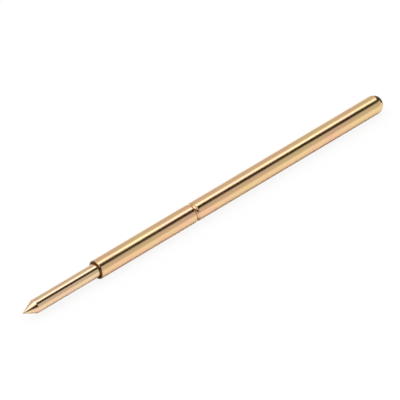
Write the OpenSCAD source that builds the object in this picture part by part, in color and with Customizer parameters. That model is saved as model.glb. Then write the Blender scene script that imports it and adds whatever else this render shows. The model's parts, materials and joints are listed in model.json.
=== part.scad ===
// Spring contact probe for board test fixtures: a turned barrel with a rolled crimp and a closed tail,
// a spear-pointed plunger that slides in it, and the compression spring behind the plunger.
// Millimetres. The probe lies along X with its point towards -X, shown at rest with the plunger out.
// The origin is on the axis, midway along the barrel.

/* [Barrel] */
// Overall length of the barrel, mouth to tail
barrel_length = 13.15; // [10.5:0.05:20]
// Outside diameter of the barrel
barrel_diameter = 0.68; // [0.6:0.01:1]
// Thickness of the barrel's wall
barrel_wall = 0.08; // [0.06:0.005:0.1]
// Radius of the rounded outer edge of the mouth
mouth_round = 0.06; // [0.03:0.005:0.08]
// Size of the chamfer that leads into the bore
mouth_lead_in = 0.015; // [0.005:0.005:0.02]

/* [Crimp] */
// Distance of the crimp's centre behind the mouth
crimp_position = 4.36; // [3.9:0.02:5.6]
// Radius of the roller that forms the crimp's outer groove
crimp_roller_radius = 0.08; // [0.06:0.005:0.12]
// Depth of the outer groove
crimp_depth = 0.055; // [0.04:0.005:0.07]
// Radius of the rounded shoulders beside the groove
crimp_shoulder_round = 0.03; // [0.01:0.005:0.05]
// Radius of the bead that the crimp raises in the bore
bead_radius = 0.13; // [0.1:0.01:0.16]

/* [Plunger] */
// How far the point stands out of the mouth at rest
plunger_reach = 3.2; // [2.8:0.05:5]
// Full travel of the plunger into the barrel
stroke = 2.65; // [1.5:0.05:2.7]
// Included angle of the spear point, in degrees
point_angle = 50; // [30:1:90]
// Radius of the very end of the point
point_round = 0.012; // [0.005:0.001:0.03]
// Length of the bulb that the crimp retains
bulb_length = 0.85; // [0.6:0.05:1.2]
// Radius of the rounded edges at the shoulders of the plunger
edge_round = 0.025; // [0.01:0.005:0.04]
// Radius of the fillets at both ends of the neck
neck_fillet = 0.03; // [0.01:0.005:0.04]
// Included angle of the cone that the spring seats on, in degrees
tail_cone_angle = 110; // [80:1:130]

/* [Spring] */
// Diameter of the spring's wire
wire_diameter = 0.085; // [0.06:0.005:0.09]
// Number of working turns
active_turns = 36; // [20:1:40]
// Number of closed turns at each end
closed_turns = 1.5; // [1:0.25:2]

/* [Clearances] */
// Radial clearance of the plunger in the bore
slide_clearance = 0.015; // [0.01:0.001:0.02]
// Radial clearance of the neck inside the crimp's bead
neck_clearance = 0.025; // [0.015:0.005:0.04]
// Radial clearance of the spring in the bore
coil_clearance = 0.025; // [0.015:0.005:0.04]
// Gap left where the spring and the bulb seat
seat_gap = 0.003; // [0.001:0.001:0.01]
// Room between the guide's shoulder and the crimp at full travel
overtravel = 0.06; // [0.02:0.01:0.2]

/* [Quality] */
// Segments of a full round
round_segments = 96; // [48:8:160]
// Segments of one turn of the spring
turn_segments = 12; // [8:1:16]
// Sides of the spring's wire
wire_sides = 6; // [6:1:8]

/* [Hidden] */
$fn = round_segments;

// Barrel: radii from the axis and places behind the mouth
barrel_r = barrel_diameter / 2;
bore_r = barrel_r - barrel_wall;
dome_z = barrel_length - barrel_r;

// Crimp: the bead keeps the wall's thickness where the groove is deepest
bead_tip_r = barrel_r - crimp_depth - barrel_wall;
bead_centre_r = bead_tip_r + bead_radius;
bead_half_width = sqrt(pow(bead_radius, 2) - pow(bead_centre_r - bore_r, 2));
groove_centre_r = barrel_r - crimp_depth + crimp_roller_radius;
shoulder_centre_r = barrel_r - crimp_shoulder_round;
shoulder_offset = sqrt(
    pow(crimp_roller_radius + crimp_shoulder_round, 2) - pow(groove_centre_r - shoulder_centre_r, 2)
);

// Plunger: the bulb's front edge rests on the back of the bead
plunger_r = bore_r - slide_clearance;
neck_r = bead_tip_r - neck_clearance;
point_z = -plunger_reach;
point_centre_z = point_z + point_round;
point_half = point_angle / 2;
point_tangent = point_round * [cos(point_half), -sin(point_half)] + [0, point_centre_z];
cone_base_z = point_centre_z - point_round / sin(point_half) + plunger_r / tan(point_half);
edge_centre_r = plunger_r - edge_round;
bulb_front_z = crimp_position - edge_round
    + sqrt(pow(bead_radius + edge_round + seat_gap, 2) - pow(bead_centre_r - edge_centre_r, 2));
bulb_back_z = bulb_front_z + bulb_length;
guide_back_z = crimp_position - bead_half_width - overtravel - stroke;
tail_half = tail_cone_angle / 2;
tail_apex_z = bulb_back_z + plunger_r / tan(tail_half);

// Spring: its front turn seats on the plunger's cone, its back turn inside the barrel's dome
wire_r = wire_diameter / 2;
coil_r = bore_r - coil_clearance - wire_r;
spring_front_z = tail_apex_z - (coil_r - (wire_r + seat_gap) * cos(tail_half)) / tan(tail_half)
    + (wire_r + seat_gap) * sin(tail_half);
spring_back_z = dome_z + sqrt(pow(bore_r - wire_r - seat_gap, 2) - pow(coil_r, 2));
closed_pitch = wire_diameter * 1.06;
active_pitch = (spring_back_z - spring_front_z - 2 * closed_turns * closed_pitch) / active_turns;
total_turns = active_turns + 2 * closed_turns;
ring_count = ceil(total_turns * turn_segments);

// Allowance that carries a cutting shape past the face it cuts
cut = 0.01;

// Turns a profile of [radius, distance behind the mouth] about the X axis.
module turned() {
    from_mouth() rotate_extrude() children();
}

// Lays a part that is drawn along +Z from the mouth along X, about the middle of the barrel.
module from_mouth() {
    translate([-barrel_length / 2, 0, 0]) rotate([0, 90, 0]) children();
}

// Rectangle in a profile, from one radius and place to another.
module band(r_from, z_from, r_to, z_to) {
    translate([r_from, z_from]) square([r_to - r_from, z_to - z_from]);
}

// Outside of the barrel: rounded mouth, straight wall, hemispherical tail.
module barrel_outline() {
    band(0, 0, barrel_r - mouth_round, mouth_round);
    translate([barrel_r - mouth_round, mouth_round]) circle(mouth_round);
    band(0, mouth_round, barrel_r, dome_z);
    intersection() {
        translate([0, dome_z]) circle(barrel_r);
        band(0, dome_z - cut, barrel_r, barrel_length);
    }
}

// Inside of the barrel: lead-in, bore, and a bottom that is round like the tail.
module bore_outline() {
    polygon([
        [0, -cut],
        [bore_r + mouth_lead_in + cut, -cut],
        [bore_r, mouth_lead_in],
        [bore_r, dome_z],
        [0, dome_z]
    ]);
    intersection() {
        translate([0, dome_z]) circle(bore_r);
        band(0, dome_z - cut, bore_r, dome_z + bore_r);
    }
}

// Half of the crimp's inner bead, where it stands proud of the bore.
module bead_outline() {
    intersection() {
        translate([bead_centre_r, crimp_position]) circle(bead_radius);
        band(0, crimp_position - bead_radius, (bore_r + barrel_r) / 2, crimp_position + bead_radius);
    }
}

// Outer groove of the crimp: the roller's round, with a rounded shoulder on each side of it.
module groove_outline() {
    translate([groove_centre_r, crimp_position]) circle(crimp_roller_radius);
    for (side = [-1, 1]) difference() {
        polygon([
            [shoulder_centre_r, crimp_position + side * shoulder_offset],
            [groove_centre_r, crimp_position + side * shoulder_offset],
            [groove_centre_r, crimp_position]
        ]);
        translate([shoulder_centre_r, crimp_position + side * shoulder_offset])
            circle(crimp_shoulder_round);
    }
}

module barrel() {
    color("goldenrod") turned() difference() {
        union() {
            difference() {
                barrel_outline();
                bore_outline();
            }
            bead_outline();
        }
        groove_outline();
    }
}

// Shoulder of the plunger with a rounded edge: end is the face's place, towards is 1 when the
// material lies behind the face and -1 when it lies in front.
module shoulder_edge(end, towards) {
    mid = end + towards * edge_round;
    band(0, min(end, mid), edge_centre_r, max(end, mid));
    translate([edge_centre_r, mid]) intersection() {
        circle(edge_round);
        band(0, -edge_round, edge_round, edge_round);
    }
}

// Fillet in the corner between the neck and a shoulder, on the side that towards gives.
module neck_corner(end, towards) {
    mid = end + towards * neck_fillet;
    difference() {
        band(0, min(end, mid), neck_r + neck_fillet, max(end, mid));
        translate([neck_r + neck_fillet, mid]) circle(neck_fillet);
    }
}

// Spear point: a cone whose end is rounded by a circle that its flank runs into.
module point_outline() {
    polygon([
        [0, point_centre_z],
        point_tangent,
        [plunger_r, cone_base_z],
        [0, cone_base_z]
    ]);
    intersection() {
        translate([0, point_centre_z]) circle(point_round);
        band(0, point_z, point_round, point_centre_z);
    }
}

module plunger() {
    color("gold") turned() {
        point_outline();
        band(0, cone_base_z, plunger_r, guide_back_z - edge_round);
        shoulder_edge(guide_back_z, -1);
        neck_corner(guide_back_z, 1);
        band(0, guide_back_z, neck_r, bulb_front_z);
        neck_corner(bulb_front_z, -1);
        shoulder_edge(bulb_front_z, 1);
        band(0, bulb_front_z + edge_round, plunger_r, bulb_back_z);
        polygon([[0, bulb_back_z], [plunger_r, bulb_back_z], [0, tail_apex_z]]);
    }
}

// Place along the axis of the wire's centre after a number of turns from the front.
function wire_z(turn) =
    spring_front_z
    + closed_pitch * min(turn, closed_turns)
    + active_pitch * max(0, min(turn, total_turns - closed_turns) - closed_turns)
    + closed_pitch * max(0, turn - (total_turns - closed_turns));

// Points of the wire's section after a number of turns.
function wire_ring(turn) = [
    for (side = [0:wire_sides - 1])
        let (
            around = 360 * side / wire_sides,
            r = coil_r + wire_r * cos(around),
            z = wire_z(turn) + wire_r * sin(around)
        )
        [r * cos(360 * turn), r * sin(360 * turn), z]
];

module spring() {
    points = [for (i = [0:ring_count]) each wire_ring(total_turns * i / ring_count)];
    walls = [
        for (i = [0:ring_count - 1], side = [0:wire_sides - 1])
            let (
                next = (side + 1) % wire_sides,
                a = i * wire_sides,
                b = a + wire_sides
            )
            each [[a + side, b + side, b + next], [a + side, b + next, a + next]]
    ];
    front = [for (side = [0:wire_sides - 1]) side];
    back = [for (side = [wire_sides - 1:-1:0]) ring_count * wire_sides + side];
    color("silver") from_mouth() polyhedron(points, concat(walls, [front, back]));
}

barrel();
plunger();
spring();
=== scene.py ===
"""Looks of a spring contact probe for board test fixtures.

The probe lies along X with its point towards -X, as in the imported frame. Its barrel and plunger are
turned and its spring is wound here to the frame's sizes, and each takes a procedural finish. Sizes in
the classes are millimetres, measured along the probe from the barrel's mouth.
"""

import json
import logging
import math
from collections.abc import Mapping, Sequence
from dataclasses import dataclass
from enum import Enum

import bmesh
import bpy
from mathutils import Matrix, Vector


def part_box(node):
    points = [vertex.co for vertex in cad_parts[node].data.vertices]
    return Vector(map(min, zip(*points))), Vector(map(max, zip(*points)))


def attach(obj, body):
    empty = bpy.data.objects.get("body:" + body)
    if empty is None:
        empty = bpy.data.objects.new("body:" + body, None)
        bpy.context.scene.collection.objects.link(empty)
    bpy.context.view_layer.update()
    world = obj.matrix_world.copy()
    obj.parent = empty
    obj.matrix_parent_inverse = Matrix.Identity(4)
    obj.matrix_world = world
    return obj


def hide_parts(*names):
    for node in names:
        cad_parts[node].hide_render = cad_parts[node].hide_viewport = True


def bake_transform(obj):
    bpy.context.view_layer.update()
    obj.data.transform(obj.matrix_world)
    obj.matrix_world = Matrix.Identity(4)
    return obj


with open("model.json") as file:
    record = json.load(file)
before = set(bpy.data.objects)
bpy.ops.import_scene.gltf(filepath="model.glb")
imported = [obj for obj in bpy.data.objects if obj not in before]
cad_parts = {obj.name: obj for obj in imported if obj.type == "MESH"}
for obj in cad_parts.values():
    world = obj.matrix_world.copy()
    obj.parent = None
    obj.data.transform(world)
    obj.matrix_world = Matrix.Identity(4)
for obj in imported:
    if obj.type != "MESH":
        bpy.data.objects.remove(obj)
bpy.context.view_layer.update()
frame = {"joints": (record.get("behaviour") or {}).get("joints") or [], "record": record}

LOG = logging.getLogger("probe")
MM = 0.001
Colour = tuple[float, float, float]
Corner = tuple[float, float, float]
Span = tuple[float, float]


class Part(Enum):
    """The probe's three parts, by the name of their node in the frame."""

    BARREL = "barrel"
    PLUNGER = "plunger"
    SPRING = "spring"


class MarkRun(Enum):
    """Which way a surface's tool marks run, as how often they repeat along X, Y and Z per millimetre."""

    DRAWN = (0.45, 24.0, 24.0)
    TURNED = (30.0, 0.7, 0.7)
    WOUND = (34.0, 1.6, 1.6)


@dataclass(frozen=True)
class Signal:
    """One output of a node, on which arithmetic adds Math nodes to the same tree."""

    net: "NodeNet"
    socket: bpy.types.NodeSocket

    def peer(self, name: str) -> "Signal":
        """Another output of the same node, by its name."""
        return Signal(self.net, self.socket.node.outputs[name])

    def math(self, operation: str, *terms: "Signal | float") -> "Signal":
        """Adds one Math node.

        Args:
            operation: the Math node's operation.
            terms: its one, two or three values, in order.

        Returns:
            The node's value.
        """
        return self.net.add("ShaderNodeMath", {"operation": operation}, dict(enumerate(terms)))

    def __add__(self, other: "Signal | float") -> "Signal":
        """This value plus another."""
        return self.math("ADD", self, other)

    def __radd__(self, other: float) -> "Signal":
        """A number plus this value."""
        return self.math("ADD", other, self)

    def __sub__(self, other: "Signal | float") -> "Signal":
        """This value less another."""
        return self.math("SUBTRACT", self, other)

    def __rsub__(self, other: float) -> "Signal":
        """A number less this value."""
        return self.math("SUBTRACT", other, self)

    def __mul__(self, other: "Signal | float") -> "Signal":
        """This value times another."""
        return self.math("MULTIPLY", self, other)

    def __rmul__(self, other: float) -> "Signal":
        """A number times this value."""
        return self.math("MULTIPLY", other, self)

    def __pow__(self, other: "Signal | float") -> "Signal":
        """This value to a power."""
        return self.math("POWER", self, other)

    def __abs__(self) -> "Signal":
        """This value without its sign."""
        return self.math("ABSOLUTE", self)

    def ramp(self, low: float, high: float) -> "Signal":
        """A smooth step.

        Args:
            low: where the step is 0.
            high: where the step is 1; it may be less than low, for a step down.

        Returns:
            The step, from 0 to 1.
        """
        flip = high < low
        return self.net.add(
            "ShaderNodeMapRange",
            {"interpolation_type": "SMOOTHSTEP", "clamp": True},
            {
                "Value": self,
                "From Min": min(low, high),
                "From Max": max(low, high),
                "To Min": float(flip),
                "To Max": float(not flip),
            },
        )


class NodeNet:
    """A node tree that is built node by node."""

    def __init__(self, tree: bpy.types.NodeTree) -> None:
        """Empties the tree.

        Args:
            tree: a material's or the world's node tree.
        """
        self.tree = tree
        tree.nodes.clear()

    def add(
        self,
        kind: str,
        settings: Mapping[str, object] | None = None,
        inputs: Mapping[int | str, object] | None = None,
        output: int | str = 0,
    ) -> Signal:
        """Adds one node.

        Args:
            kind: the node's type.
            settings: its own properties, set before its sockets.
            inputs: values or signals, by the socket's number, identifier or name.
            output: which output to return.

        Returns:
            That output, or for a node with none, a signal on its first input.
        """
        node = self.tree.nodes.new(kind)
        for name, value in (settings or {}).items():
            setattr(node, name, value)
        for key, value in (inputs or {}).items():
            socket = self._find(node.inputs, key)
            if isinstance(value, Signal):
                self.tree.links.new(value.socket, socket)
            else:
                socket.default_value = value
        return Signal(self, self._find(node.outputs, output) if node.outputs else node.inputs[0])

    @staticmethod
    def _find(sockets: Sequence[bpy.types.NodeSocket], key: int | str) -> bpy.types.NodeSocket:
        """The socket with that number, identifier or name."""
        if isinstance(key, int):
            return sockets[key]
        exact = [socket for socket in sockets if socket.identifier == key]
        return (exact or [socket for socket in sockets if socket.name == key])[0]

    def millimetres(self) -> Signal:
        """The place on the piece, in millimetres of the frame."""
        place = self.add("ShaderNodeTexCoord", output="Object")
        return self.add("ShaderNodeVectorMath", {"operation": "SCALE"}, {"Vector": place, "Scale": 1 / MM})

    def noise(self, place: Signal, stretch: Corner, detail: float, roughness: float = 0.5) -> Signal:
        """Noise that is stretched differently along X, Y and Z.

        Args:
            place: the place in millimetres.
            stretch: how often the noise repeats along each axis, per millimetre.
            detail: how many finer layers it has.
            roughness: how strong the finer layers are.

        Returns:
            The noise, from 0 to 1 with its middle at 0.5.
        """
        spot = self.add(
            "ShaderNodeVectorMath",
            {"operation": "MULTIPLY"},
            {"Vector": place, "Vector_001": stretch},
        )
        return self.add(
            "ShaderNodeTexNoise",
            {},
            {"Vector": spot, "Scale": 1.0, "Detail": detail, "Roughness": roughness},
        )

    def blend(self, share: Signal, first: Signal | Colour, second: Signal | Colour) -> Signal:
        """Mixes two colours.

        Args:
            share: how much of the second colour shows, from 0 to 1.
            first: the colour at 0.
            second: the colour at 1.

        Returns:
            The mixed colour.
        """
        sides = {
            key: side if isinstance(side, Signal) else (*side, 1.0)
            for key, side in (("A_Color", first), ("B_Color", second))
        }
        return self.add(
            "ShaderNodeMix",
            {"data_type": "RGBA", "blend_type": "MIX"},
            {"Factor_Float": share, **sides},
            "Result_Color",
        )


@dataclass(frozen=True)
class Zone:
    """A stretch of the probe whose surface differs, such as a rubbed edge, or one darkened by painted
    shade.

    Attributes:
        middle: where it is along X, in the frame, in millimetres.
        reach: how far it reaches each way before it has faded out.
        dirt_and_shade: how much painted shade darkens it, from 0 to 1.
        polish: how much of its roughness is rubbed away, from 0 to 1.
        core: how far the full effect reaches before it starts to fade.
    """

    middle: float
    reach: float
    dirt_and_shade: float = 0.0
    polish: float = 0.0
    core: float = 0.0


@dataclass(frozen=True)
class GoldPlating:
    """Thin gold over nickel on machined metal, with the metal's tool marks showing through.

    A stretch is how often a noise repeats along X, Y and Z per millimetre. The edges are the levels of
    a noise between which its effect fades in, and a share, soil or roughness is how strong it gets.
    """

    name: str
    run: MarkRun
    zones: tuple[Zone, ...] = ()
    gold: Colour = (0.90, 0.605, 0.325)
    rosy: Colour = (0.92, 0.57, 0.345)
    straw: Colour = (0.85, 0.645, 0.30)
    # Dark colour for the real dirt in specks and tool marks, and for the zones' painted shade.
    dirt_and_shade_colour: Colour = (0.12, 0.07, 0.03)
    bore_colour: Colour = (0.50, 0.32, 0.17)
    bore_radius: float = 0.0
    base_roughness: float = 0.15
    mark_roughness: float = 0.10
    mark_height: float = 0.35e-6
    patch_stretch: Corner = (2.2, 3.0, 3.0)
    patch_edges: Span = (0.40, 0.62)
    drift_stretch: Corner = (0.55, 1.3, 1.3)
    drift_edges: Span = (0.48, 0.70)
    drift_share: float = 0.6
    speck_stretch: Corner = (16.0, 16.0, 16.0)
    speck_edges: Span = (0.62, 0.74)
    speck_soil: float = 0.05
    speck_rough_edges: Span = (0.5, 0.8)
    speck_roughness: float = 0.05
    speck_height: float = 0.35
    mark_edges: Span = (0.50, 0.75)
    mark_soil: float = 0.08
    mark_rough_edges: Span = (0.25, 0.80)
    bore_fade: Span = (0.02, 0.005)

    def material(self) -> bpy.types.Material:
        """Builds the finish.

        Returns:
            The material.
        """
        made = bpy.data.materials.new(self.name)
        made.use_nodes = True
        net = NodeNet(made.node_tree)
        place = net.millimetres()
        marks = net.noise(place, self.run.value, 3.0, 0.6)
        patches = net.noise(place, self.patch_stretch, 2.0)
        drift = net.noise(place, self.drift_stretch, 1.0)
        specks = net.noise(place, self.speck_stretch, 2.0)
        colour = net.blend(patches.ramp(*self.patch_edges), self.gold, self.rosy)
        colour = net.blend(drift.ramp(*self.drift_edges) * self.drift_share, colour, self.straw)
        specked = specks.ramp(*self.speck_edges) * self.speck_soil
        dirt_and_shade = specked + marks.ramp(*self.mark_edges) * self.mark_soil
        polish: Signal | float = 0.0
        x = net.add("ShaderNodeSeparateXYZ", {}, {"Vector": place}, "X")
        # Each zone's darkening is painted shade: a dark lip, groove or point standing in for dark
        # reflections.
        for zone in self.zones:
            near = abs(x - zone.middle).ramp(zone.reach, zone.core)
            dirt_and_shade = dirt_and_shade + near * zone.dirt_and_shade
            polish = near * zone.polish + polish
        colour = net.blend(dirt_and_shade, colour, self.dirt_and_shade_colour)
        # Inside the bore the colour fades to a darker copy of the gold.
        if self.bore_radius:
            out = (x.peer("Y") * x.peer("Y") + x.peer("Z") * x.peer("Z")) ** 0.5
            outer, inner = (self.bore_radius + past for past in self.bore_fade)
            colour = net.blend(out.ramp(outer, inner), colour, self.bore_colour)
        rough = self.base_roughness + self.mark_roughness * marks.ramp(*self.mark_rough_edges)
        rough = rough + self.speck_roughness * specks.ramp(*self.speck_rough_edges)
        rough = rough * (1.0 - polish)
        height = marks + self.speck_height * specks
        bump = net.add(
            "ShaderNodeBump",
            {},
            {"Strength": 1.0, "Distance": self.mark_height, "Height": height},
        )
        shader = net.add(
            "ShaderNodeBsdfPrincipled",
            {},
            {"Base Color": colour, "Metallic": 1.0, "Roughness": rough, "Normal": bump},
        )
        net.add("ShaderNodeOutputMaterial", {}, {"Surface": shader})
        return made


@dataclass(frozen=True)
class SpringWire:
    """Hard-drawn spring wire, with the die's lines along it and a faint straw heat colour."""

    name: str = "spring_wire"
    steel: Colour = (0.60, 0.585, 0.56)
    heated: Colour = (0.58, 0.52, 0.42)
    oiled: Colour = (0.30, 0.285, 0.26)
    base_roughness: float = 0.22
    line_height: float = 0.4e-6
    heat_stretch: Corner = (0.8, 3.0, 3.0)
    heat_edges: Span = (0.40, 0.70)
    film_stretch: Corner = (7.0, 9.0, 9.0)
    film_edges: Span = (0.55, 0.75)
    film_share: float = 0.6
    film_gloss_edges: Span = (0.5, 0.8)
    film_gloss: float = 0.06
    line_edges: Span = (0.3, 0.8)
    line_roughness: float = 0.16

    def material(self) -> bpy.types.Material:
        """Builds the finish.

        Returns:
            The material.
        """
        made = bpy.data.materials.new(self.name)
        made.use_nodes = True
        net = NodeNet(made.node_tree)
        place = net.millimetres()
        lines = net.noise(place, MarkRun.WOUND.value, 3.0, 0.6)
        heat = net.noise(place, self.heat_stretch, 2.0)
        film = net.noise(place, self.film_stretch, 3.0)
        colour = net.blend(heat.ramp(*self.heat_edges), self.steel, self.heated)
        colour = net.blend(film.ramp(*self.film_edges) * self.film_share, colour, self.oiled)
        rough = self.base_roughness + self.line_roughness * lines.ramp(*self.line_edges)
        rough = rough - self.film_gloss * film.ramp(*self.film_gloss_edges)
        bump = net.add(
            "ShaderNodeBump",
            {},
            {"Strength": 1.0, "Distance": self.line_height, "Height": lines},
        )
        shader = net.add(
            "ShaderNodeBsdfPrincipled",
            {},
            {"Base Color": colour, "Metallic": 1.0, "Roughness": rough, "Normal": bump},
        )
        net.add("ShaderNodeOutputMaterial", {}, {"Surface": shader})
        return made


class Lathe:
    """Draws the half profile of a turned part and spins it about the probe's axis.

    The profile's first number is the distance behind the mouth and its second is the radius.
    """

    ARC_STEP = 6.0
    ROUND_STEPS = 160
    HOLD = 0.012

    def __init__(self, place: float, radius: float) -> None:
        """Puts the pen down.

        Args:
            place: distance behind the mouth.
            radius: distance from the axis.
        """
        self.mesh = bmesh.new()
        self.pen = self.mesh.verts.new((place, radius, 0.0))

    def line(self, place: float, radius: float) -> "Lathe":
        """Draws a straight line.

        Args:
            place: where it ends, behind the mouth.
            radius: the radius where it ends.

        Returns:
            The lathe, for the next stroke.
        """
        self.pen = bmesh.ops.extrude_vert_indiv(self.mesh, verts=[self.pen])["verts"][0]
        bmesh.ops.translate(self.mesh, verts=[self.pen], vec=Vector((place, radius, 0.0)) - self.pen.co)
        return self

    def run(self, place: float, radius: float) -> "Lathe":
        """Draws a long straight line with a ring close to each end, so that its shading stays straight.

        Args:
            place: where it ends, behind the mouth.
            radius: the radius where it ends.

        Returns:
            The lathe, for the next stroke.
        """
        start = self.pen.co.copy()
        end = Vector((place, radius, 0.0))
        hold = (end - start).normalized() * self.HOLD
        for stop in (start + hold, end - hold, end):
            self.line(stop.x, stop.y)
        return self

    def arc(self, place: float, radius: float, degrees: float) -> "Lathe":
        """Draws an arc.

        Args:
            place: the centre's distance behind the mouth.
            radius: the centre's distance from the axis.
            degrees: how far it sweeps, counter-clockwise with the tail to the right.

        Returns:
            The lathe, for the next stroke.
        """
        made = bmesh.ops.spin(
            self.mesh,
            geom=[self.pen],
            cent=(place, radius, 0.0),
            axis=(0.0, 0.0, 1.0),
            angle=math.radians(degrees),
            steps=max(3, math.ceil(abs(degrees) / self.ARC_STEP)),
        )
        self.pen = next(item for item in made["geom_last"] if isinstance(item, bmesh.types.BMVert))
        return self

    def turned(self) -> bmesh.types.BMesh:
        """Spins the profile into a closed solid.

        Returns:
            The solid's mesh.
        """
        bmesh.ops.spin(
            self.mesh,
            geom=[*self.mesh.verts, *self.mesh.edges],
            cent=(0.0, 0.0, 0.0),
            axis=(1.0, 0.0, 0.0),
            angle=math.tau,
            steps=self.ROUND_STEPS,
            use_merge=True,
        )
        return self.mesh


@dataclass
class Piece:
    """A finished piece: cleaned, moved into the frame and dressed, with its node's part hidden."""

    name: str
    node: Part
    slot: str
    mouth: float

    WELD = 1e-4
    SHARP = math.radians(24.0)

    def finish(self, mesh: bmesh.types.BMesh, material: bpy.types.Material) -> bpy.types.Object:
        """Makes the piece's object from its mesh.

        Args:
            mesh: the piece, in millimetres from the mouth.
            material: its finish.

        Returns:
            The object, at the origin, with its place in its mesh.
        """
        bmesh.ops.remove_doubles(mesh, verts=mesh.verts, dist=self.WELD)
        bmesh.ops.recalc_face_normals(mesh, faces=mesh.faces)
        place = Matrix.Scale(MM, 4) @ Matrix.Translation((self.mouth, 0.0, 0.0))
        bmesh.ops.transform(mesh, matrix=place, verts=mesh.verts)
        for face in mesh.faces:
            face.smooth = True
        for edge in mesh.edges:
            edge.smooth = not edge.is_manifold or edge.calc_face_angle() < self.SHARP
        data = bpy.data.meshes.new(self.name)
        mesh.to_mesh(data)
        mesh.free()
        data.materials.append(material)
        made = bpy.data.objects.new(self.name, data)
        bpy.context.scene.collection.objects.link(made)
        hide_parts(self.node.value)
        self._report(made)
        return made

    def _report(self, made: bpy.types.Object) -> None:
        """Logs the piece's size and how far its box is from its node's.

        Args:
            made: the finished object.
        """
        low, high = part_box(self.node.value)
        ends = [min(v.co.x for v in made.data.vertices), max(v.co.x for v in made.data.vertices)]
        out = max(math.hypot(v.co.y, v.co.z) for v in made.data.vertices)
        LOG.info(
            "%s: %d faces, %.3f to %.3f mm along X (node %.3f to %.3f), radius %.4f (node %.4f)",
            self.name, len(made.data.polygons), ends[0] / MM, ends[1] / MM,
            low.x / MM, high.x / MM, out / MM, high.y / MM,
        )


@dataclass
class Barrel:
    """Drawn tube with a rounded mouth, a rolled crimp and a closed round tail."""

    length: float
    radius: float
    mouth: float
    wall: float = 0.08
    mouth_round: float = 0.06
    mouth_lead_in: float = 0.015
    crimp_position: float = 4.36
    roller_radius: float = 0.08
    crimp_depth: float = 0.055
    shoulder_round: float = 0.03
    bead_radius: float = 0.13
    # Where the painted shade on the crimp's mouth-side shoulder sits.
    groove_shade_offset: float = 0.055
    rub_offset: float = 0.13

    @classmethod
    def from_frame(cls) -> "Barrel":
        """The barrel with its length and place from its node and its radius from its mount."""
        low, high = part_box(Part.BARREL.value)
        mount = next(m for m in frame["record"]["mounts"] if m["name"] == Part.BARREL.value)
        return cls(length=(high.x - low.x) / MM, radius=mount["dims"]["r_mm"], mouth=low.x / MM)

    @property
    def bore(self) -> float:
        """Radius of the bore."""
        return self.radius - self.wall

    @property
    def dome(self) -> float:
        """Where the round tail starts."""
        return self.length - self.radius

    @property
    def bead_tip(self) -> float:
        """Smallest radius inside the crimp."""
        return self.radius - self.crimp_depth - self.wall

    @property
    def bead_centre(self) -> float:
        """Radius at which the bead's round has its centre."""
        return self.bead_tip + self.bead_radius

    @property
    def bead_half_width(self) -> float:
        """Half of the bead's width at the bore."""
        return math.sqrt(self.bead_radius**2 - (self.bead_centre - self.bore) ** 2)

    def mesh(self) -> bmesh.types.BMesh:
        """Turns the barrel: tail, wall, crimp groove, mouth, bore, bead and the bore's round end.

        Returns:
            The barrel's mesh.
        """
        groove = self.radius - self.crimp_depth + self.roller_radius
        shoulder = self.radius - self.shoulder_round
        offset = math.sqrt((self.roller_radius + self.shoulder_round) ** 2 - (groove - shoulder) ** 2)
        tilt = math.degrees(math.atan2(groove - shoulder, offset))
        lean = math.degrees(math.atan2(self.bead_centre - self.bore, self.bead_half_width))
        lathe = Lathe(self.length, 0.0).arc(self.dome, 0.0, 90.0)
        lathe.run(self.crimp_position + offset, self.radius)
        lathe.arc(self.crimp_position + offset, shoulder, 90.0 - tilt)
        lathe.arc(self.crimp_position, groove, 2.0 * tilt - 180.0)
        lathe.arc(self.crimp_position - offset, shoulder, 90.0 - tilt)
        lathe.run(self.mouth_round, self.radius)
        lathe.arc(self.mouth_round, self.radius - self.mouth_round, 90.0)
        lathe.line(0.0, self.bore + self.mouth_lead_in).line(self.mouth_lead_in, self.bore)
        lathe.run(self.crimp_position - self.bead_half_width, self.bore)
        lathe.arc(self.crimp_position, self.bead_centre, 180.0 - 2.0 * lean)
        lathe.run(self.dome, self.bore).arc(self.dome, 0.0, -90.0)
        return lathe.turned()

    def finish(self) -> GoldPlating:
        """Plating over a drawn tube, rubbed either side of the crimp, with painted shade on the mouth's lip
        and in the crimp's groove.
        """
        crimp = self.mouth + self.crimp_position
        return GoldPlating(
            "barrel_gold",
            MarkRun.DRAWN,
            zones=(
                # Painted shade: the mouth's lip darkened to black as a dark reflection.
                Zone(self.mouth, 0.05, dirt_and_shade=1.0, core=0.015),
                # Painted shade in the crimp's groove: strong on its mouth-side shoulder, faint across the
                # groove.
                Zone(crimp - self.groove_shade_offset, 0.05, dirt_and_shade=0.45),
                Zone(crimp, 0.11, dirt_and_shade=0.18),
                Zone(crimp - self.rub_offset, 0.05, polish=0.35),
                Zone(crimp + self.rub_offset, 0.05, polish=0.35),
            ),
            bore_radius=self.bore,
        )

    def build(self) -> bpy.types.Object:
        """Builds the barrel and ties it to its body."""
        piece = Piece("barrel_shell", Part.BARREL, "barrel_gold", self.mouth)
        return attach(piece.finish(self.mesh(), self.finish().material()), Part.BARREL.value)


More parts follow.
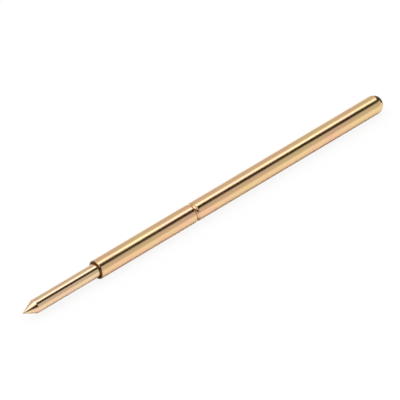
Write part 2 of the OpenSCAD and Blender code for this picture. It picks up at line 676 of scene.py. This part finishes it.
@dataclass
class Plunger:
    """Turned plunger: spear point, guide, neck through the crimp, and the bulb that the crimp retains."""

    barrel: Barrel
    reach: float
    point_angle: float = 50.0
    point_round: float = 0.012
    stroke: float = 2.65
    overtravel: float = 0.06
    bulb_length: float = 0.85
    edge_round: float = 0.025
    neck_fillet: float = 0.03
    tail_cone_angle: float = 110.0
    slide_clearance: float = 0.015
    neck_clearance: float = 0.025
    seat_gap: float = 0.003

    @classmethod
    def from_frame(cls, barrel: Barrel) -> "Plunger":
        """The plunger that goes in a barrel, with its reach and stroke from the frame.

        Args:
            barrel: the barrel that it slides in.

        Returns:
            The plunger.
        """
        joint = frame["joints"][0]
        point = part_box(Part.PLUNGER.value)[0].x / MM
        return cls(barrel, reach=barrel.mouth - point, stroke=max(joint["range_m"]) / MM)

    @property
    def radius(self) -> float:
        """Radius of the guide and the bulb."""
        return self.barrel.bore - self.slide_clearance

    @property
    def neck(self) -> float:
        """Radius of the neck."""
        return self.barrel.bead_tip - self.neck_clearance

    @property
    def cone_base(self) -> float:
        """Where the spear point meets the guide."""
        half = math.radians(self.point_angle / 2)
        tip = self.point_round - self.reach - self.point_round / math.sin(half)
        return tip + self.radius / math.tan(half)

    @property
    def guide_back(self) -> float:
        """Where the guide ends and the neck starts."""
        return self.barrel.crimp_position - self.barrel.bead_half_width - self.overtravel - self.stroke

    @property
    def bulb_front(self) -> float:
        """Where the bulb starts, so that its round edge rests on the bead."""
        reach = self.barrel.bead_radius + self.edge_round + self.seat_gap
        rise = self.barrel.bead_centre - (self.radius - self.edge_round)
        return self.barrel.crimp_position - self.edge_round + math.sqrt(reach**2 - rise**2)

    @property
    def bulb_back(self) -> float:
        """Where the bulb ends and the spring's cone starts."""
        return self.bulb_front + self.bulb_length

    @property
    def apex(self) -> float:
        """Tip of the cone that the spring seats on."""
        return self.bulb_back + self.radius / math.tan(math.radians(self.tail_cone_angle / 2))

    def mesh(self) -> bmesh.types.BMesh:
        """Turns the plunger, from its point to the spring's cone.

        Returns:
            The plunger's mesh.
        """
        edge, fillet = self.edge_round, self.neck_fillet
        lathe = Lathe(-self.reach, 0.0)
        lathe.arc(self.point_round - self.reach, 0.0, self.point_angle / 2 - 90.0)
        lathe.run(self.cone_base, self.radius)
        lathe.run(self.guide_back - edge, self.radius)
        lathe.arc(self.guide_back - edge, self.radius - edge, -90.0)
        lathe.line(self.guide_back, self.neck + fillet)
        lathe.arc(self.guide_back + fillet, self.neck + fillet, 90.0)
        lathe.run(self.bulb_front - fillet, self.neck)
        lathe.arc(self.bulb_front - fillet, self.neck + fillet, 90.0)
        lathe.line(self.bulb_front, self.radius - edge)
        lathe.arc(self.bulb_front + edge, self.radius - edge, -90.0)
        lathe.run(self.bulb_back, self.radius)
        lathe.run(self.apex, 0.0)
        return lathe.turned()

    def finish(self) -> GoldPlating:
        """Plating over fine turning marks, polished at the point and rubbed where the cone starts, with
        painted shade darkening the point.
        """
        mouth = self.barrel.mouth
        return GoldPlating(
            "plunger_gold",
            MarkRun.TURNED,
            zones=(
                Zone(mouth - self.reach, 0.16, polish=0.35),
                # Painted shade: the point darkened as a dark reflection.
                Zone(mouth - self.reach, 0.12, dirt_and_shade=0.40),
                Zone(mouth + self.cone_base, 0.04, polish=0.45),
            ),
            gold=(0.89, 0.645, 0.395),
            rosy=(0.90, 0.605, 0.395),
            straw=(0.86, 0.665, 0.37),
            base_roughness=0.13,
            mark_roughness=0.08,
        )

    def build(self) -> bpy.types.Object:
        """Builds the plunger and ties it to its body."""
        piece = Piece("plunger_shaft", Part.PLUNGER, "plunger_gold", self.barrel.mouth)
        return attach(piece.finish(self.mesh(), self.finish().material()), Part.PLUNGER.value)


@dataclass
class Spring:
    """Closed-ended compression spring between the plunger's cone and the barrel's round end."""

    barrel: Barrel
    plunger: Plunger
    wire_diameter: float = 0.085
    active_turns: int = 36
    closed_turns: float = 1.5
    coil_clearance: float = 0.025
    closed_pitch_ratio: float = 1.06
    turn_steps: int = 48
    wire_sides: int = 14

    @property
    def wire(self) -> float:
        """Radius of the wire."""
        return self.wire_diameter / 2

    @property
    def coil(self) -> float:
        """Radius of the coil, at the wire's centre."""
        return self.barrel.bore - self.coil_clearance - self.wire

    @property
    def front(self) -> float:
        """Where the wire's centre starts, seated on the plunger's cone."""
        half = math.radians(self.plunger.tail_cone_angle / 2)
        off = self.wire + self.plunger.seat_gap
        seat = self.plunger.apex - (self.coil - off * math.cos(half)) / math.tan(half)
        return seat + off * math.sin(half)

    @property
    def back(self) -> float:
        """Where the wire's centre ends, seated in the barrel's round end."""
        seat = self.barrel.bore - self.wire - self.plunger.seat_gap
        return self.barrel.dome + math.sqrt(seat**2 - self.coil**2)

    def _wind(
        self,
        mesh: bmesh.types.BMesh,
        place: float,
        turned: float,
        turns: float,
        pitch: float,
    ) -> list[bmesh.types.BMVert | bmesh.types.BMEdge | bmesh.types.BMFace]:
        """Winds one stretch of wire.

        Args:
            mesh: the mesh that takes it.
            place: where the wire's centre starts, behind the mouth.
            turned: how many turns come before it.
            turns: how many turns it has.
            pitch: how far the wire moves along in one turn.

        Returns:
            The stretch's vertices, edges and faces.
        """
        before = len(mesh.verts)
        spot = Matrix.Rotation(math.tau * turned, 4, "X") @ Matrix.Translation((0.0, self.coil, 0.0))
        spot = Matrix.Translation((place, 0.0, 0.0)) @ spot
        ring = bmesh.ops.create_circle(mesh, segments=self.wire_sides, radius=self.wire, matrix=spot)
        verts = ring["verts"]
        bmesh.ops.spin(
            mesh,
            geom=[*verts, *{edge for vert in verts for edge in vert.link_edges}],
            cent=(0.0, 0.0, 0.0),
            axis=(1.0, 0.0, 0.0),
            dvec=(pitch / self.turn_steps, 0.0, 0.0),
            angle=math.tau * turns,
            steps=round(turns * self.turn_steps),
        )
        new = mesh.verts[before:]
        edges = {edge for vert in new for edge in vert.link_edges}
        faces = {face for vert in new for face in vert.link_faces}
        return [*new, *edges, *faces]

    def mesh(self) -> bmesh.types.BMesh:
        """Winds the spring: closed turns, working turns, closed turns, with both wire ends closed.

        Returns:
            The spring's mesh.
        """
        closed = self.wire_diameter * self.closed_pitch_ratio
        working = (self.back - self.front - 2 * self.closed_turns * closed) / self.active_turns
        start = self.front + self.closed_turns * closed
        made = bmesh.new()
        turn = self._wind(made, start, self.closed_turns, 1.0, working)
        for count in range(1, self.active_turns):
            copy = bmesh.ops.duplicate(made, geom=turn)["geom"]
            moved = [item for item in copy if isinstance(item, bmesh.types.BMVert)]
            bmesh.ops.translate(made, verts=moved, vec=(count * working, 0.0, 0.0))
        end = start + self.active_turns * working
        self._wind(made, self.front, 0.0, self.closed_turns, closed)
        self._wind(made, end, self.closed_turns + self.active_turns, self.closed_turns, closed)
        bmesh.ops.remove_doubles(made, verts=made.verts, dist=Piece.WELD)
        rims = [edge for edge in made.edges if edge.is_boundary]
        bmesh.ops.holes_fill(made, edges=rims, sides=self.wire_sides)
        return made

    def build(self) -> bpy.types.Object:
        """Builds the spring and bakes its place into its mesh."""
        piece = Piece("spring_coil", Part.SPRING, "spring_wire", self.barrel.mouth)
        made = piece.finish(self.mesh(), SpringWire().material())
        ends = [((self.barrel.mouth + place) * MM, 0.0, 0.0) for place in (self.front, self.back)]
        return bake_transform(made)


@dataclass(frozen=True)
class Lamp:
    """A soft rectangular lamp that points at the probe. Lengths in metres.

    Attributes:
        name: its name.
        toward: the way to it from the probe.
        distance: how far away it is.
        size: its length, which lies level, and its width.
        radiance: its brightness, where 1 is white.
        in_metal: whether metal reflects it.
        tint: its colour.
    """

    name: str
    toward: Corner
    distance: float
    size: tuple[float, float]
    radiance: float
    in_metal: bool = True
    tint: Colour = (1.0, 1.0, 1.0)

    def hang(self) -> bpy.types.Object:
        """Hangs the lamp.

        Returns:
            The lamp's object.
        """
        data = bpy.data.lights.new(self.name, "AREA")
        data.shape = "RECTANGLE"
        data.size, data.size_y = self.size
        data.energy = self.radiance * math.pi * data.size * data.size_y
        data.color = self.tint
        made = bpy.data.objects.new(self.name, data)
        bpy.context.scene.collection.objects.link(made)
        away = Vector(self.toward).normalized()
        level = Vector((0.0, 0.0, 1.0)).cross(away)
        level = level.normalized() if abs(away.x) > 1e-6 else Vector((1.0, 0.0, 0.0))
        across = away.cross(level)
        turn = Matrix((level, across, away)).transposed().to_4x4()
        made.matrix_world = Matrix.Translation(away * self.distance) @ turn
        made.visible_camera = False
        made.visible_glossy = self.in_metal
        return made


@dataclass(frozen=True)
class Studio:
    """Pale floor and a light tent, with a dark slot over the probe and a viewing gap in front.

    The tent's light is a sum of soft steps over the direction: a rise is a step in how far it points
    up, and a depth is one in how far it points back, or for point_depth along the probe. The floor is
    white to the camera and to metal, but for the strip at the probe's foot that foot_shade gives, where
    metal sees the floor's own shadow.
    """

    floor_radius: float = 2.0
    floor_sides: int = 96
    floor_colour: Colour = (0.94, 0.94, 0.94)
    floor_white: float = 0.90
    foot_shade: Span = (0.00036, 0.00110)
    horizon_light: float = 0.50
    side_light: float = 0.14
    side_rise: Span = (0.0, 0.35)
    back_light: float = 0.04
    back_depth: Span = (0.2, 0.6)
    back_rise: Span = (0.4, 0.7)
    sweep_light: float = 0.26
    sweep_depth: Span = (-0.3, -0.6)
    sweep_rise: Span = (0.26, 0.0)
    slot_light: float = 0.012
    slot_normal: Corner = (-0.391, 0.719, 0.575)
    slot_front: Span = (-0.12, -0.30)
    slot_back: Span = (0.18, 0.27)
    point_light: float = 0.45
    point_depth: Span = (0.0, -0.12)
    point_rise: Span = (0.72, 0.84)
    gap_toward: Corner = (-0.33, -0.73, 0.60)
    gap_edges: Span = (0.955, 0.912)
    card_place: float = 0.00745
    card_sides: Span = (-0.00042, 0.0010)
    card_top: float = 0.00075
    # The card's colour is painted shade that the tail's round end reflects.
    card_colour: Colour = (0.09, 0.065, 0.045)
    lamps: tuple[Lamp, ...] = (
        Lamp("softbox", (0.0, 0.191, 0.982), 0.15, (0.30, 0.0638), 1.25, tint=(0.92, 0.86, 1.0)),
        Lamp("dome_lamp", (0.0, 0.45, 0.893), 0.20, (0.60, 0.30), 0.78, in_metal=False),
    )

    def floor(self, height: float) -> bpy.types.Object:
        """Makes the floor that the probe lies on.

        Args:
            height: the floor's height, in metres.

        Returns:
            The floor.
        """
        mesh = bmesh.new()
        place = Matrix.Translation((0.0, 0.0, height))
        bmesh.ops.create_circle(
            mesh,
            cap_ends=True,
            segments=self.floor_sides,
            radius=self.floor_radius,
            matrix=place,
        )
        data = bpy.data.meshes.new("studio_floor")
        mesh.to_mesh(data)
        mesh.free()
        data.materials.append(self._floor_material())
        made = bpy.data.objects.new("studio_floor", data)
        bpy.context.scene.collection.objects.link(made)
        return made

    def end_card(self, floor_height: float) -> bpy.types.Object:
        """Stands a dark card on the floor past the tail, seen only by metal, as a painted dark reflection
        of shade along the tail's outline.

        Args:
            floor_height: the floor's height, in metres.

        Returns:
            The card.
        """
        mesh = bmesh.new()
        near, far = self.card_sides
        size = Matrix.Diagonal((1.0, (far - near) / 2, (self.card_top - floor_height) / 2, 1.0))
        middle = Matrix.Translation((self.card_place, (near + far) / 2, (self.card_top + floor_height) / 2))
        place = middle @ size @ Matrix.Rotation(math.pi / 2, 4, "Y")
        bmesh.ops.create_grid(mesh, x_segments=1, y_segments=1, size=1.0, matrix=place)
        data = bpy.data.meshes.new("end_card")
        mesh.to_mesh(data)
        mesh.free()
        material = bpy.data.materials.new("card_dark")
        material.use_nodes = True
        net = NodeNet(material.node_tree)
        matt = net.add("ShaderNodeBsdfDiffuse", {}, {"Color": (*self.card_colour, 1.0)})
        net.add("ShaderNodeOutputMaterial", {}, {"Surface": matt})
        data.materials.append(material)
        made = bpy.data.objects.new("end_card", data)
        bpy.context.scene.collection.objects.link(made)
        made.visible_camera = made.visible_diffuse = made.visible_shadow = False
        return made

    def _floor_material(self) -> bpy.types.Material:
        """Makes the floor white to camera, metal and glass, but matt to metal at the probe's foot.

        Returns:
            The floor's material.
        """
        made = bpy.data.materials.new("floor_white")
        made.use_nodes = True
        net = NodeNet(made.node_tree)
        rays = net.add("ShaderNodeLightPath", output="Is Camera Ray")
        matt = net.add("ShaderNodeBsdfDiffuse", {}, {"Color": (*self.floor_colour, 1.0)})
        white = net.add("ShaderNodeEmission", {}, {"Color": (1.0, 1.0, 1.0, 1.0), "Strength": 1.0})
        spot = net.add("ShaderNodeTexCoord", output="Object")
        aside = abs(net.add("ShaderNodeSeparateXYZ", {}, {"Vector": spot}, "Y"))
        in_metal = rays.peer("Is Glossy Ray") * aside.ramp(*self.foot_shade)
        share = (rays + rays.peer("Is Transmission Ray") + in_metal) * self.floor_white
        surface = net.add("ShaderNodeMixShader", {}, {0: share, 1: matt, 2: white})
        net.add("ShaderNodeOutputMaterial", {}, {"Surface": surface})
        return made

    def world(self) -> None:
        """Lights the tent that metal sees; the camera and glass see plain white instead of it."""
        made = bpy.data.worlds.new("studio_world")
        bpy.context.scene.world = made
        made.use_nodes = True
        net = NodeNet(made.node_tree)
        heading = net.add("ShaderNodeTexCoord", output="Generated")
        x = net.add("ShaderNodeSeparateXYZ", {}, {"Vector": heading}, "X")
        y, z = x.peer("Y"), x.peer("Z")
        off, gap = (
            net.add(
                "ShaderNodeVectorMath",
                {"operation": "DOT_PRODUCT"},
                {"Vector": heading, "Vector_001": way},
                "Value",
            )
            for way in (self.slot_normal, self.gap_toward)
        )
        tent = self.horizon_light + self.side_light * z.ramp(*self.side_rise)
        tent = tent + self.back_light * (y.ramp(*self.back_depth) * z.ramp(*self.back_rise))
        tent = tent + self.sweep_light * (y.ramp(*self.sweep_depth) * z.ramp(*self.sweep_rise))
        tent = tent + self.point_light * (x.ramp(*self.point_depth) * z.ramp(*self.point_rise))
        lit = (off.ramp(*self.slot_front) + off.ramp(*self.slot_back)) * gap.ramp(*self.gap_edges)
        light = tent * lit + self.slot_light
        rays = net.add("ShaderNodeLightPath", output="Is Camera Ray")
        clear = rays + rays.peer("Is Transmission Ray")
        strength = clear + (1.0 - clear) * light
        sky = net.add("ShaderNodeBackground", {}, {"Color": (1.0, 1.0, 1.0, 1.0), "Strength": strength})
        net.add("ShaderNodeOutputWorld", {}, {"Surface": sky})

    def build(self, floor_height: float) -> None:
        """Makes the world, the lamps and the floor.

        Args:
            floor_height: the floor's height, in metres.
        """
        self.world()
        for lamp in self.lamps:
            lamp.hang()
        self.floor(floor_height)
        self.end_card(floor_height)


@dataclass(frozen=True)
class ViewCamera:
    """The camera: where it stands round the probe, in degrees and metres, and what it aims at."""

    azimuth: float = -42.5
    elevation: float = 40.35
    distance: float = 0.1833
    lens: float = 487.4
    frame_side: int = 400
    origin_right: float = 40.48
    origin_up: float = 15.83
    clip: Span = (0.001, 10.0)

    def place(self) -> bpy.types.Object:
        """Makes the scene's camera.

        Returns:
            The camera.
        """
        turn, lift = math.radians(self.azimuth), math.radians(self.elevation)
        look = Vector((-math.sin(turn) * math.cos(lift), math.cos(turn) * math.cos(lift), -math.sin(lift)))
        right = Vector((math.cos(turn), math.sin(turn), 0.0))
        up = right.cross(look)
        data = bpy.data.cameras.new("view_camera")
        data.lens = self.lens
        data.clip_start, data.clip_end = self.clip
        step = self.distance * data.sensor_width / self.lens / self.frame_side
        aim = -right * self.origin_right * step - up * self.origin_up * step
        made = bpy.data.objects.new("view_camera", data)
        bpy.context.scene.collection.objects.link(made)
        made.location = aim - look * self.distance
        made.rotation_mode = "QUATERNION"
        made.rotation_quaternion = look.to_track_quat("-Z", "Y")
        bpy.context.scene.camera = made
        return made


def main() -> None:
    """Builds the probe, its studio and its camera, and reports each piece."""
    logging.basicConfig(level=logging.INFO, format="%(name)s: %(message)s")
    barrel = Barrel.from_frame()
    plunger = Plunger.from_frame(barrel)
    spring = Spring(barrel, plunger)
    for part in (barrel, plunger, spring):
        made = part.build()
    Studio().build(-barrel.radius * MM)
    ViewCamera().place()
    bpy.context.scene.view_settings.view_transform = "Standard"


if __name__ == "__main__":
    main()
